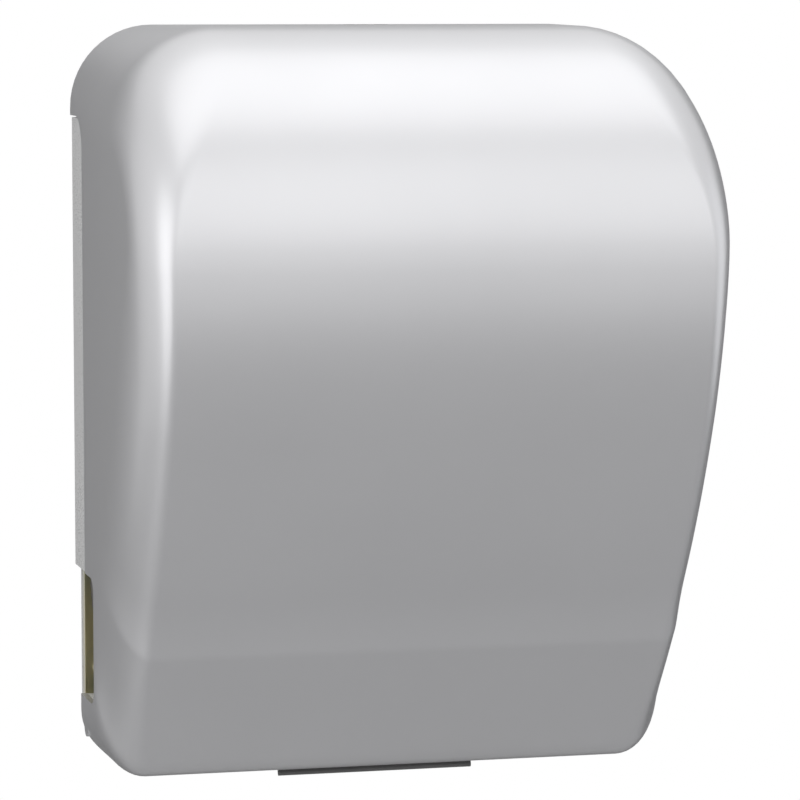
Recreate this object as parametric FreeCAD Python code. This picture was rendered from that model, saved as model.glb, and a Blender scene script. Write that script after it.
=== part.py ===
import FreeCAD, Part
import math
import os

# Lever paper towel dispenser, wall-mounted, millimetres.
# X runs right as seen from the front, Y runs towards the wall, Z runs up.
# The origin is on the wall, at the centre of the four wall-fixing holes.
# A place is given as x, depth (out from the wall) and height (above the cover's underside).

# Driving dimensions of the cover
cover_width = 290.0
cover_height = 370.0
cover_wall = 3.0
wall_clearance = 1.0
crown_depth = 91.7
crown_radius = 108.2
brow_radius = 220.0
brow_angle = 23.0
front_radius = 520.0
front_angle = 33.0
waist_radius = 150.0
waist_angle = 22.0
crease_radius = 20.0
chin_angle = 36.5
chin_radius = 25.0
corner_top = 41.0
corner_crown = 55.0
corner_brow = 35.0
corner_front = 30.0
corner_front_height = 60.0
corner_chin = 24.0
side_edge_depth = 34.0
skirt_drop = 45.0
skirt_foot = 98.0
access_depth = 58.0
access_foot = 35.0
access_corner = 8.0
heel_depth = 20.0
outlet_back = 28.0
outlet_front = 67.5
outlet_end_gap = 9.0

# Wall-fixing holes
fixing_spacing_x = 180.0
fixing_spacing_z = 170.0
fixing_radius = 2.75
fixing_low = 145.0
fixing_pad_radius = 9.0
fixing_pad_rise = 1.0
origin_height = fixing_low + fixing_spacing_z / 2

# Back tray
tray_plate = 3.0
tray_gap = 0.8
tray_wall = 2.5
tray_rim_depth = 44.0
tray_foot = 2.0
tray_corner = 20.0
tray_corner_room = 1.0
skirt_gap = 1.0
skirt_inset = 1.0
rim_foot = 131.0
catch_inner = 10.0
catch_outer = 27.0
catch_wall = 3.0
catch_drop = 37.0
catch_height = 17.0
catch_side_room = 27.0

# Cover hinge
hinge_depth = 26.0
hinge_height = 20.0
hinge_pin_radius = 2.5
hinge_boss_radius = 6.0
hinge_boss_length = 6.0
hinge_ear = 6.0
hinge_side_gap = 1.5
ear_clearance = 1.0

# Running and sliding clearances, and how far a cutter runs past what it cuts
running = 0.05
seat_gap = 0.3
past = 1.0

# Lock in the cover's top
lock_depth = 30.0
lock_body_radius = 9.0
lock_body_length = 24.0
lock_flange_radius = 11.5
lock_flange = 1.4
lock_boss_radius = 15.0
lock_boss = 6.0
lock_nut_radius = 13.0
lock_nut = 4.5
lock_rotor_radius = 6.5
key_slot_length = 8.0
key_slot_width = 1.6
key_slot_depth = 12.0
cam_length = 20.0
cam_width = 9.0
cam_thickness = 2.5

# Side brackets of the feed mechanism, set in from the cover's side walls
bracket_side_room = 18.0
bracket_sheet = 1.5
bracket_flange_gap = 2.0
bracket_foot = 32.0
bracket_flange_top = 122.0
bracket_lip_rise = 2.0
bracket_lip_back = 50.0
bracket_lip_front = 78.0
bracket_front_wall = 16.0
bracket_front_foot = 60.0
bracket_front_rise = 14.0
bracket_top_depth = 60.0
bracket_screw_rise = 13.0
bracket_screw_drop = 8.0
bracket_screw_bite = 2.5

# Feed roller
feed_depth = 45.0
feed_height = 97.0
feed_shaft_radius = 3.0
feed_core_radius = 12.0
feed_core_end_gap = 14.0
feed_ring_radius = 17.0
ring_width = 18.0
ring_end_gap = 17.0
ring_count = 4
shaft_end = 1.0
roller_gap = 0.3
bush_wall = 2.5
bush_flange = 1.5
bush_flange_lip = 2.0

# Pressure roller
pressure_shaft_radius = 3.0
pressure_roller_radius = 11.0
pressure_roller_width = 22.0

# Manual feed wheel
wheel_radius = 31.0
wheel_side_gap = 3.0
wheel_thickness = 7.6
wheel_rim = 5.0
wheel_web = 1.0
wheel_grooves = 36
wheel_groove_radius = 1.6
wheel_hub_radius = 8.0
wheel_hub_length = 4.0

# Lever
lever_depth = 30.0
lever_shaft_radius = 4.0
lever_hub_radius = 8.0
lever_half = 50.0
lever_hub_half = 60.0
lever_tip_depth = 50.0
lever_tip_height = -6.0
lever_thickness = 3.0
lever_rib = 2.5
lever_rib_count = 5
lever_rib_pitch = 22.7
lever_rib_share = 0.7

# Gear pair from the lever to the feed roller
gear_module = 1.0
sector_teeth = 82
pinion_teeth = 16
pressure_angle = 25.0
gear_backlash = 0.25
gear_face = 5.0
gear_gap = 2.5
sector_lead_angle = 7.0
sector_trail_angle = 38.0
sector_edge_angle = 11.5
sector_hub_radius = 9.0
pinion_hub_radius = 7.4
pinion_hub_length = 4.2
clutch_radius = 5.0

# Paper guides and tear bar
guide_sheet = 2.0
front_guide_depth = 65.2
front_guide_foot = 12.0
front_guide_top = 80.0
rear_guide_depth = 57.5
rear_guide_foot = 20.0
rear_guide_top = 76.0
guide_flange = 10.0
guide_screw_rise = 10.0
guide_screw_drop = 12.0
tear_bar_sheet = 1.0
tear_bar_end_gap = 12.0
tear_screw_inset = 22.0
tear_screw_rise = 3.5
tear_bar_tip = 1.5
tear_bar_height = 18.0
tear_tooth_pitch = 4.0
tear_tooth_height = 2.5

# Roll arms and hubs
roll_depth = 102.0
roll_drop = 111.0
arm_pivot_room = 30.0
arm_pivot_depth = 14.0
arm_barrel_radius = 6.0
arm_barrel_below = 20.0
arm_barrel_above = 8.0
arm_sheet = 3.0
arm_inset = 4.0
arm_shoulder_rise = 8.0
arm_shoulder_back = 12.0
arm_shoulder_front = 20.0
arm_rib_end_gap = 10.0
arm_nose_radius = 16.0
arm_pin_radius = 2.5
arm_lug = 5.0
arm_lug_gap = 0.3
arm_spring_room = 11.0
arm_pin_end = 1.0
hub_flange_radius = 24.0
hub_flange = 3.0
hub_gap = 0.5
hub_root_radius = 19.0
hub_tip_radius = 17.0
hub_length = 14.0
hub_wall = 3.0
hub_sleeve = 2.5
hub_pin_radius = 4.0
hub_pin_head_radius = 7.0
hub_pin_head = 2.0

# Springs
lever_spring_wire = 0.8
lever_spring_turns = 6
lever_spring_gap = 0.6
lever_spring_start = 2.0
arm_spring_wire = 0.84
arm_spring_turns = 5
arm_spring_gap = 0.62
arm_spring_start = 1.5
coil_pitch_ratio = 1.7

# Screws
screw_radius = 1.75
screw_head_radius = 3.5
screw_head = 2.2
low_screw_head = 1.76
screw_recess = 1.0
clip_thickness = 0.8
clip_lip = 2.6

# Sizes worked out from those above
half_width = cover_width / 2
inner_half = half_width - cover_wall
tray_half = inner_half - tray_gap
cover_ceiling = cover_height - cover_wall
crown_foot = cover_height - crown_radius
skirt_top = cover_height - skirt_drop
catch_foot = cover_ceiling - catch_drop
bracket_inner = inner_half - bracket_side_room
bracket_outer = bracket_inner + bracket_sheet
bracket_flange_end = inner_half - bracket_flange_gap
outlet_half = bracket_inner - outlet_end_gap
gear_inner = bracket_outer + gear_gap
gear_outer = gear_inner + gear_face
wheel_outer = inner_half - wheel_side_gap
feed_core_half = bracket_inner - feed_core_end_gap
ring_pitch = (2 * (feed_core_half - ring_end_gap) - ring_width) / (ring_count - 1)
tear_bar_half = bracket_inner - tear_bar_end_gap
arm_pivot_x = inner_half - arm_pivot_room
arm_inner = arm_pivot_x - arm_inset
roll_height = cover_ceiling - roll_drop
arm_barrel_low = roll_height - arm_barrel_below
arm_barrel_high = roll_height + arm_barrel_above
feed_nip = feed_depth + feed_ring_radius
pressure_depth = feed_nip + roller_gap + pressure_roller_radius
pressure_height = feed_height
sector_radius = gear_module * sector_teeth / 2
pinion_radius = gear_module * pinion_teeth / 2
gear_centres = sector_radius + pinion_radius
lever_height = feed_height - math.sqrt(gear_centres ** 2 - (feed_depth - lever_depth) ** 2)
lock_top = cover_height
lock_foot = cover_height - lock_flange - lock_body_length
lock_boss_foot = cover_ceiling - lock_boss
heel_swing = math.hypot(hinge_depth - heel_depth, access_foot - hinge_height)

across = FreeCAD.Vector(1, 0, 0)
outward = FreeCAD.Vector(0, -1, 0)
upward = FreeCAD.Vector(0, 0, 1)


def place(x, depth, height):
    return FreeCAD.Vector(x, -depth, height - origin_height)


def rod(radius, x_from, x_to, depth, height):
    return Part.makeCylinder(radius, x_to - x_from, place(x_from, depth, height), across)


def post(radius, h_from, h_to, x, depth):
    return Part.makeCylinder(radius, h_to - h_from, place(x, depth, h_from), upward)


def peg(radius, d_from, d_to, x, height):
    return Part.makeCylinder(radius, d_to - d_from, place(x, d_from, height), outward)


def block(x_from, x_to, d_from, d_to, h_from, h_to):
    size = (x_to - x_from, d_to - d_from, h_to - h_from)
    return Part.makeBox(*size, place(x_from, d_to, h_from))


def side_plate(outline, x_from, x_to):
    corners = [place(x_from, depth, height) for depth, height in outline]
    face = Part.Face(Part.makePolygon(corners + corners[:1]))
    return face.extrude(across * (x_to - x_from))


def front_plate(outline, d_from, d_to):
    corners = [place(x, d_from, height) for x, height in outline]
    face = Part.Face(Part.makePolygon(corners + corners[:1]))
    return face.extrude(outward * (d_to - d_from))


def mirrored(shape):
    return shape.mirror(FreeCAD.Vector(0, 0, 0), across)


def both_sides(shape):
    return Part.makeCompound([shape, mirrored(shape)])


def direction(angle):
    return math.cos(math.radians(angle)), math.sin(math.radians(angle))


def save(name, shape):
    shape.exportStep("parts/" + name + ".step")


# The cover's side profile is a chain of arcs, each tangent to the last, from the flat top
# round the brow and down the leaning front to the crease, then the chin and the flat underside.
def profile_arcs():
    return [(crown_radius, 90, 0, 1),
            (brow_radius, 0, -brow_angle, 1),
            (front_radius, -brow_angle, -front_angle, 1),
            (waist_radius, -front_angle, -waist_angle, -1),
            (crease_radius, -waist_angle, -chin_angle, 1)]


def arc_point(centre, radius, angle, bulge, inset):
    ux, uy = direction(angle)
    reach = bulge * radius - inset
    return centre[0] + reach * ux, centre[1] + reach * uy


def arc_edge(centre, radius, start, end, bulge, inset):
    angles = (start, (start + end) / 2, end)
    points = [place(0, *arc_point(centre, radius, a, bulge, inset)) for a in angles]
    return Part.Arc(*points).toShape()


def profile_wire(inset):
    edges = []
    here = (crown_depth, cover_height)
    last = (0, cover_height - inset)
    joint = (crown_depth, cover_height - inset)
    edges.append(Part.makeLine(place(0, *last), place(0, *joint)))
    last = joint
    for radius, start, end, bulge in profile_arcs():
        ux, uy = direction(start)
        centre = (here[0] - bulge * radius * ux, here[1] - bulge * radius * uy)
        edges.append(arc_edge(centre, radius, start, end, bulge, inset))
        here = arc_point(centre, radius, end, bulge, 0)
        last = arc_point(centre, radius, end, bulge, inset)
    ux, uy = direction(-chin_angle)
    drop = here[1] - chin_radius * (1 + uy)
    run = drop * math.tan(math.radians(chin_angle))
    centre = (here[0] - run - chin_radius * ux, chin_radius)
    joint = arc_point(centre, chin_radius, -chin_angle, 1, inset)
    edges.append(Part.makeLine(place(0, *last), place(0, *joint)))
    edges.append(arc_edge(centre, chin_radius, -chin_angle, -90, 1, inset))
    foot = arc_point(centre, chin_radius, -90, 1, inset)
    edges.append(Part.makeLine(place(0, *foot), place(0, 0, inset)))
    edges.append(Part.makeLine(place(0, 0, inset), place(0, 0, cover_height - inset)))
    return Part.Wire(edges)


def corner_radius(depth, height):
    # It grows along the flat top as far as the crown, then falls towards the foot.
    if depth < crown_depth + past and height > crown_foot:
        return corner_top + (corner_crown - corner_top) * depth / crown_depth
    steps = [(cover_height, corner_crown), (crown_foot, corner_brow),
             (corner_front_height, corner_front), (0.0, corner_chin)]
    for (high, big), (low, small) in zip(steps, steps[1:]):
        if height >= low:
            return small + (big - small) * (height - low) / (high - low)
    return corner_chin


def cover_form(inset):
    half = half_width - inset
    solid = Part.Face(profile_wire(inset)).extrude(across * (2 * half))
    solid.translate(across * -half)
    doc = FreeCAD.newDocument("cover")
    base = doc.addObject("Part::Feature", "base")
    base.Shape = solid
    fillet = doc.addObject("Part::Fillet", "corners")
    fillet.Base = base
    rounds = []
    for number, edge in enumerate(base.Shape.Edges, 1):
        ends = [edge.valueAt(edge.FirstParameter), edge.valueAt(edge.LastParameter)]
        on_side = all(abs(abs(end.x) - half) < 1e-6 for end in ends) and ends[0].x * ends[1].x > 0
        on_rear = all(abs(end.y) < 1e-6 for end in ends)
        if on_side and not on_rear:
            radii = [corner_radius(-end.y, end.z + origin_height) - inset for end in ends]
            rounds.append((number, radii[0], radii[1]))
    fillet.Edges = rounds
    doc.recompute()
    form = fillet.Shape.copy()
    FreeCAD.closeDocument(doc.Name)
    return form


def side_notch(left):
    # The side stops short of the wall round the tray's pale skirt, and on the left it also
    # leaves an opening beside the manual feed wheel.
    end = inner_half - cover_wall
    outer = half_width + past
    bend = side_edge_depth / 2
    slot = block(end, outer, -past, side_edge_depth, access_foot, skirt_top - bend)
    slot = slot.fuse(rod(bend, end, outer, bend, skirt_top - bend))
    slot = slot.fuse(block(end, outer, -past, bend, access_foot, skirt_top))
    if left:
        window = block(end, outer, 0, access_depth, access_foot, skirt_foot)
        edges = [e for e in window.Edges
                 if all(abs(v.Y + access_depth) < 1e-6 for v in e.Vertexes)
                 and abs(e.Vertexes[0].X - e.Vertexes[1].X) > past]
        slot = mirrored(slot.fuse(window.makeFillet(access_corner, edges)))
    return slot


def front_cover():
    outer = half_width + past
    rear_slice = block(-outer, outer, -past, wall_clearance, -past, cover_height + past)
    shell = cover_form(0).cut([cover_form(cover_wall), rear_slice])
    boss = post(lock_boss_radius, lock_boss_foot, cover_ceiling + cover_wall / 2, 0, lock_depth)
    hinge_boss = rod(hinge_boss_radius, inner_half - hinge_boss_length,
                     half_width - cover_wall / 2, hinge_depth, hinge_height)
    shell = shell.fuse([boss, hinge_boss, mirrored(hinge_boss)])
    bore = rod(hinge_pin_radius + running, inner_half - hinge_boss_length - past,
               inner_half - hinge_side_gap + running, hinge_depth, hinge_height)
    floor = cover_wall + past
    cuts = [side_notch(False), side_notch(True), bore, mirrored(bore),
            post(lock_body_radius + running, lock_boss_foot - past, lock_top + past, 0, lock_depth),
            post(lock_flange_radius + running, lock_top - lock_flange, lock_top + past, 0, lock_depth),
            block(-outlet_half, outlet_half, -past, outlet_front, -past, floor),
            block(-inner_half, inner_half, -past, outlet_back, -past, floor),
            block(-outer, outer, -past, heel_depth, -past, access_foot)]
    # Each tray ear needs room as the cover swings down past it.
    ear_room = hinge_boss_radius + ear_clearance
    room = block(ear_inner() - ear_clearance, ear_inner() + hinge_ear + ear_clearance,
                 -past, hinge_depth + ear_room, -past, hinge_height + ear_room)
    cuts += [room, mirrored(room)]
    return shell.cut(cuts)


def rounded_panel(half, foot, top, low_corner, high_corner, d_from, d_to):
    panel = block(-half, half, d_from, d_to, foot, top)
    high = top - origin_height - past
    uprights = [e for e in panel.Edges if abs(e.Vertexes[0].Y - e.Vertexes[1].Y) > past]
    panel = panel.makeFillet(low_corner, [e for e in uprights if e.Vertexes[0].Z < high])
    uprights = [e for e in panel.Edges if abs(e.Vertexes[0].Y - e.Vertexes[-1].Y) > past
                and e.Vertexes[0].Z > high]
    return panel.makeFillet(high_corner, uprights)


def fixing_places():
    return [(sx * fixing_spacing_x / 2, fixing_low + row * fixing_spacing_z)
            for sx in (-1, 1) for row in (0, 1)]


def tray_skirt(foot):
    # The pale side wall that shows between the wall and the cover's rear edge.
    outer = half_width - skirt_inset
    front = side_edge_depth - skirt_gap
    skirt = block(tray_half - tray_wall, outer, 0, front, foot, skirt_top - skirt_gap)
    edge = [e for e in skirt.Edges
            if abs(e.Vertexes[0].X - e.Vertexes[1].X) > past
            and all(abs(v.Y + front) < 1e-6 for v in e.Vertexes)
            and all(abs(v.Z - skirt_top + skirt_gap + origin_height) < 1e-6 for v in e.Vertexes)]
    return skirt.makeFillet(side_edge_depth / 2 - skirt_gap, edge)


def catch_hook():
    top = catch_foot + catch_height
    arm = block(catch_outer - catch_wall, catch_outer, 0, tray_rim_depth - catch_wall,
                catch_foot, top)
    face = block(catch_inner, catch_outer, tray_rim_depth - 2 * catch_wall,
                 tray_rim_depth - catch_wall, catch_foot, top)
    return arm.fuse(face)


def arm_lugs():
    lugs = []
    spring_top = arm_barrel_high + arm_spring_room
    spans = [(arm_barrel_low - arm_lug_gap - arm_lug, arm_barrel_low - arm_lug_gap),
             (spring_top + arm_lug_gap, spring_top + arm_lug_gap + arm_lug)]
    for low, high in spans:
        lug = post(arm_barrel_radius, low, high, arm_pivot_x, arm_pivot_depth)
        web = block(arm_pivot_x - arm_barrel_radius, arm_pivot_x + arm_barrel_radius,
                    0, arm_pivot_depth, low, high)
        lugs.append(lug.fuse(web))
    return lugs


def back_tray():
    top = cover_ceiling - tray_gap
    corner = corner_radius(tray_rim_depth, top) + tray_corner_room
    panel = rounded_panel(tray_half, tray_foot, top, tray_corner, corner, 0, tray_plate)
    rim_outer = rounded_panel(tray_half, tray_foot, top, tray_corner, corner, 0, tray_rim_depth)
    rim_inner = rounded_panel(tray_half - tray_wall, tray_foot + tray_wall, top - tray_wall,
                              tray_corner - tray_wall, corner - tray_wall,
                              -past, tray_rim_depth + past)
    rim = rim_outer.cut(rim_inner)
    rim = rim.cut(block(-half_width, half_width, -past, tray_rim_depth + past, -past, rim_foot))
    room = catch_outer + catch_side_room
    rim = rim.cut(block(-room, room, tray_rim_depth / 4, tray_rim_depth + past, rim_foot, top + past))
    ear = rod(hinge_boss_radius, ear_inner(), ear_inner() + hinge_ear, hinge_depth, hinge_height)
    ear = ear.fuse(block(ear_inner(), ear_inner() + hinge_ear, 0, hinge_depth,
                         hinge_height - hinge_boss_radius, hinge_height + hinge_boss_radius))
    ear = ear.cut(rod(hinge_pin_radius, ear_inner() - past, half_width, hinge_depth, hinge_height))
    right_skirt = tray_skirt(hinge_height + heel_swing + skirt_gap)
    left_skirt = mirrored(tray_skirt(skirt_foot))
    body = panel.fuse([rim, ear, mirrored(ear), catch_hook(), right_skirt, left_skirt])
    for lug in arm_lugs():
        body = body.fuse([lug, mirrored(lug)])
    for x, height in fixing_places():
        body = body.fuse(peg(fixing_pad_radius, 0, tray_plate + fixing_pad_rise, x, height))
    holes = [peg(fixing_radius, -past, tray_plate + fixing_pad_rise + past, x, height)
             for x, height in fixing_places()]
    pin_hole = post(arm_pin_radius, arm_barrel_low - 2 * arm_lug,
                    arm_barrel_high + arm_spring_room + 2 * arm_lug, arm_pivot_x, arm_pivot_depth)
    holes += [pin_hole, mirrored(pin_hole)]
    for x, height in bracket_screw_places():
        holes.append(peg(screw_radius, tray_plate - bracket_screw_bite, tray_plate + past, x, height))
    # The skirt's rear stays open behind the wheel and the gears.
    room = block(bracket_outer + past, tray_half + running, tray_plate, tray_rim_depth + past,
                 hinge_height + hinge_boss_radius + ear_clearance, rim_foot)
    holes += [room, mirrored(room)]
    return body.cut(holes)


def ear_inner():
    return inner_half - hinge_boss_length - hinge_side_gap - hinge_ear


def cover_hinge_pins():
    pin = rod(hinge_pin_radius, ear_inner(), inner_half - hinge_side_gap, hinge_depth,
              hinge_height)
    return both_sides(pin)


# Lock
def hexagon_nut(radius, h_from, h_to, x, depth, bore):
    corners = []
    for step in range(6):
        ux, uy = direction(60 * step)
        corners.append(place(x + radius * ux, depth + radius * uy, h_from))
    prism = Part.Face(Part.makePolygon(corners + corners[:1])).extrude(upward * (h_to - h_from))
    return prism.cut(post(bore, h_from - past, h_to + past, x, depth))


def lock_housing():
    body = post(lock_body_radius, lock_foot, lock_top - lock_flange, 0, lock_depth)
    flange = post(lock_flange_radius, lock_top - lock_flange, lock_top, 0, lock_depth)
    bore = post(lock_rotor_radius + running, lock_foot - past, lock_top + past, 0, lock_depth)
    return body.fuse(flange).cut(bore)


def lock_nut_ring():
    return hexagon_nut(lock_nut_radius, lock_boss_foot - lock_nut, lock_boss_foot,
                       0, lock_depth, lock_body_radius)


def lock_rotor():
    plug = post(lock_rotor_radius, lock_foot - seat_gap, lock_top - lock_flange / 2, 0, lock_depth)
    slot = block(-key_slot_width / 2, key_slot_width / 2, lock_depth - key_slot_length / 2,
                 lock_depth + key_slot_length / 2, lock_top - key_slot_depth, lock_top + past)
    return plug.cut(slot)


def lock_cam():
    top = lock_foot - seat_gap
    disc = post(lock_rotor_radius, top - cam_thickness, top, 0, lock_depth)
    tongue = block(-cam_width / 2, cam_width / 2, lock_depth - cam_length, lock_depth,
                   top - cam_thickness, top)
    hole = post(screw_radius, top - cam_thickness - past, top + past, 0, lock_depth)
    return disc.fuse(tongue).cut(hole)


def cross_recess(shape, centre, axis, depth):
    # A small cross cut into a screw's head.
    arm = screw_head_radius / 2
    thin = screw_recess / 2
    if axis == "depth":
        cuts = [Part.makeBox(2 * arm, depth, 2 * thin, centre + FreeCAD.Vector(-arm, 0, -thin)),
                Part.makeBox(2 * thin, depth, 2 * arm, centre + FreeCAD.Vector(-thin, 0, -arm))]
    elif axis == "height":
        cuts = [Part.makeBox(2 * arm, 2 * thin, depth, centre + FreeCAD.Vector(-arm, -thin, 0)),
                Part.makeBox(2 * thin, 2 * arm, depth, centre + FreeCAD.Vector(-thin, -arm, 0))]
    else:
        cuts = [Part.makeBox(depth, 2 * arm, 2 * thin, centre + FreeCAD.Vector(0, -arm, -thin)),
                Part.makeBox(depth, 2 * thin, 2 * arm, centre + FreeCAD.Vector(0, -thin, -arm))]
    return shape.cut(cuts)


def cam_screw():
    face = lock_foot - seat_gap - cam_thickness
    head = post(screw_head_radius, face - screw_head, face, 0, lock_depth)
    shank = post(screw_radius, face, face + cam_thickness, 0, lock_depth)
    return cross_recess(head.fuse(shank), place(0, lock_depth, face - screw_head), "height",
                        screw_recess)


# Brackets, screws and bushes
def bracket_screw_places():
    mid = (bracket_outer + bracket_flange_end) / 2
    heights = (bracket_foot + bracket_screw_rise, bracket_flange_top - bracket_screw_drop)
    return [(sx * mid, height) for sx in (-1, 1) for height in heights]


def side_bracket():
    lip = front_guide_foot + bracket_lip_rise
    front = pressure_depth + bracket_front_wall
    outline = [(tray_plate, bracket_foot), (bracket_lip_back, lip), (bracket_lip_front, lip),
               (front, bracket_front_foot), (front, feed_height + bracket_front_rise),
               (bracket_top_depth, bracket_flange_top), (tray_plate, bracket_flange_top)]
    web = side_plate(outline, bracket_inner, bracket_outer)
    flange = block(bracket_inner, bracket_flange_end, tray_plate, tray_plate + bracket_sheet,
                   bracket_foot, bracket_flange_top)
    bracket = web.fuse(flange)
    near = bracket_inner - past
    far = bracket_outer + past
    cuts = [rod(feed_shaft_radius + bush_wall, near, far, feed_depth, feed_height),
            rod(pressure_shaft_radius + bush_wall, near, far, pressure_depth, pressure_height),
            rod(lever_shaft_radius + bush_wall, near, far, lever_depth, lever_height)]
    for x, height in bracket_screw_places():
        cuts.append(peg(screw_radius, 0, tray_plate + bracket_sheet + past, x, height))
    for depth, height in guide_screw_places():
        cuts.append(rod(screw_radius, near, far, depth, height))
    return bracket.cut(cuts)


def bracket_screws():
    screws = []
    for x, height in bracket_screw_places():
        seat = tray_plate + bracket_sheet
        screw = peg(screw_head_radius, seat, seat + screw_head, x, height)
        screw = screw.fuse(peg(screw_radius, tray_plate - bracket_screw_bite, seat, x, height))
        face = place(x, seat + screw_head, height)
        screws.append(cross_recess(screw, face, "depth", screw_recess))
    return Part.makeCompound(screws)


def flanged_bush(shaft_radius, depth, height):
    sleeve = rod(shaft_radius + bush_wall, bracket_inner, bracket_outer, depth, height)
    flange = rod(shaft_radius + bush_wall + bush_flange_lip, bracket_inner - bush_flange,
                 bracket_inner, depth, height)
    bore = rod(shaft_radius + running, bracket_inner - bush_flange - past, bracket_outer + past,
               depth, height)
    return both_sides(sleeve.fuse(flange).cut(bore))


def shaft_clips(shaft_radius, depth, height):
    start = bracket_outer + seat_gap
    ring = rod(shaft_radius + clip_lip, start, start + clip_thickness, depth, height)
    near = start - past
    far = start + clip_thickness + past
    ring = ring.cut(rod(shaft_radius, near, far, depth, height))
    mouth = block(near, far, depth, depth + 2 * clip_lip + shaft_radius,
                  height - shaft_radius / 2, height + shaft_radius / 2)
    return both_sides(ring.cut(mouth))


def ring_places():
    first = -ring_pitch * (ring_count - 1) / 2
    return [first + ring_pitch * step for step in range(ring_count)]


def feed_shaft():
    return rod(feed_shaft_radius, -wheel_outer + wheel_web, gear_outer + pinion_hub_length,
               feed_depth, feed_height)


def feed_roller_core():
    core = rod(feed_core_radius, -feed_core_half, feed_core_half, feed_depth, feed_height)
    return core.cut(rod(feed_shaft_radius, -half_width, half_width, feed_depth, feed_height))


def rings(outer, inner, width, depth, height):
    made = []
    for x in ring_places():
        ring = rod(outer, x - width / 2, x + width / 2, depth, height)
        made.append(ring.cut(rod(inner, x - width, x + width, depth, height)))
    return Part.makeCompound(made)


def thumb_wheel():
    inner = wheel_outer - wheel_thickness
    wheel = rod(wheel_radius, -wheel_outer, -inner, feed_depth, feed_height)
    hub = rod(wheel_hub_radius, -inner, -inner + wheel_hub_length, feed_depth, feed_height)
    dish = rod(wheel_radius - wheel_rim, -inner - wheel_thickness / 2, -inner + past,
               feed_depth, feed_height)
    dish = dish.cut(rod(wheel_hub_radius, -wheel_outer, 0, feed_depth, feed_height))
    cuts = [rod(feed_shaft_radius, -wheel_outer + wheel_web, 0, feed_depth, feed_height), dish]
    for step in range(wheel_grooves):
        ux, uy = direction(360.0 / wheel_grooves * step)
        cuts.append(rod(wheel_groove_radius, -wheel_outer - past, -inner + past,
                        feed_depth + wheel_radius * ux, feed_height + wheel_radius * uy))
    return wheel.fuse(hub).cut(cuts)


def pressure_shaft():
    reach = bracket_outer + seat_gap + clip_thickness + shaft_end
    return rod(pressure_shaft_radius, -reach, reach, pressure_depth, pressure_height)


# Lever and gears
def lever_direction():
    run = lever_tip_depth - lever_depth
    drop = lever_height - lever_tip_height
    length = math.hypot(run, drop)
    return run / length, drop / length, length


def lever_paddle():
    run, drop, length = lever_direction()
    side = lever_thickness / 2
    hub = rod(lever_hub_radius, -lever_hub_half, lever_hub_half, lever_depth, lever_height)

    def strip(start, end, near, far):
        return [(lever_depth + run * along + drop * out, lever_height - drop * along + run * out)
                for along, out in ((start, near), (end, near), (end, far), (start, far))]

    blade = side_plate(strip(0, length - side, -side, side), -lever_half, lever_half)
    blade = blade.fuse(rod(side, -lever_half, lever_half, lever_depth + run * (length - side),
                           lever_height - drop * (length - side)))
    paddle = hub.fuse(blade)
    first = -lever_rib_pitch * (lever_rib_count - 1) / 2
    for step in range(lever_rib_count):
        x = first + lever_rib_pitch * step
        paddle = paddle.fuse(side_plate(strip(0, length * lever_rib_share, -side - lever_rib, 0),
                                        x - lever_rib / 2, x + lever_rib / 2))
    return paddle.cut(rod(lever_shaft_radius, -half_width, half_width, lever_depth, lever_height))


def lever_shaft():
    left = bracket_outer + seat_gap + clip_thickness + shaft_end
    return rod(lever_shaft_radius, -left, gear_outer + shaft_end, lever_depth, lever_height)


def involute(angle):
    return math.tan(angle) - angle


def flank_half_angle(teeth, radius):
    # Half the angle that a tooth fills at this radius.
    pitch = gear_module * teeth / 2
    tilt = math.radians(pressure_angle)
    base = pitch * math.cos(tilt)
    at = math.acos(min(1.0, base / max(radius, base)))
    return math.pi / (2 * teeth) - gear_backlash / (2 * pitch) + involute(tilt) - involute(at)


def tooth_points(teeth, middle):
    pitch = gear_module * teeth / 2
    root = pitch - 1.25 * gear_module
    tip = pitch + 0.9 * gear_module
    radii = [root + (tip - root) * step / 4 for step in range(5)]
    rise = [(radius, middle - flank_half_angle(teeth, radius)) for radius in radii]
    fall = [(radius, middle + flank_half_angle(teeth, radius)) for radius in reversed(radii)]
    return rise + fall


def gear_plate(polar, depth, height):
    # The outline is in the plane of depth and height; the angle starts along depth.
    outline = [(depth + radius * math.cos(angle), height + radius * math.sin(angle))
               for radius, angle in polar]
    return side_plate(outline, gear_inner, gear_outer)


def contact_angle():
    return math.atan2(feed_height - lever_height, feed_depth - lever_depth)


def sector_gear():
    pitch_angle = 2 * math.pi / sector_teeth
    count_lead = int(sector_lead_angle / math.degrees(pitch_angle))
    count_trail = int(sector_trail_angle / math.degrees(pitch_angle))
    edge = math.radians(sector_edge_angle)
    polar = []
    for number in range(-count_lead, count_trail + 1):
        polar += tooth_points(sector_teeth, contact_angle() + (number + 0.5) * pitch_angle)
    polar.append((sector_hub_radius, polar[-1][1] + edge))
    polar.append((sector_hub_radius, polar[0][1] - edge))
    sector = gear_plate(polar, lever_depth, lever_height)
    hub = rod(sector_hub_radius, gear_inner, gear_outer, lever_depth, lever_height)
    bore = rod(lever_shaft_radius, 0, half_width, lever_depth, lever_height)
    return sector.fuse(hub).cut(bore)


def drive_pinion():
    polar = []
    for number in range(pinion_teeth):
        middle = contact_angle() + math.pi + number * 2 * math.pi / pinion_teeth
        polar += tooth_points(pinion_teeth, middle)
    pinion = gear_plate(polar, feed_depth, feed_height)
    pinion = pinion.fuse(rod(pinion_hub_radius, gear_outer, gear_outer + pinion_hub_length,
                             feed_depth, feed_height))
    return pinion.cut(rod(clutch_radius, 0, half_width, feed_depth, feed_height))


def one_way_clutch():
    ring = rod(clutch_radius, gear_inner, gear_outer + pinion_hub_length, feed_depth, feed_height)
    return ring.cut(rod(feed_shaft_radius + running, 0, half_width, feed_depth, feed_height))


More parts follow.
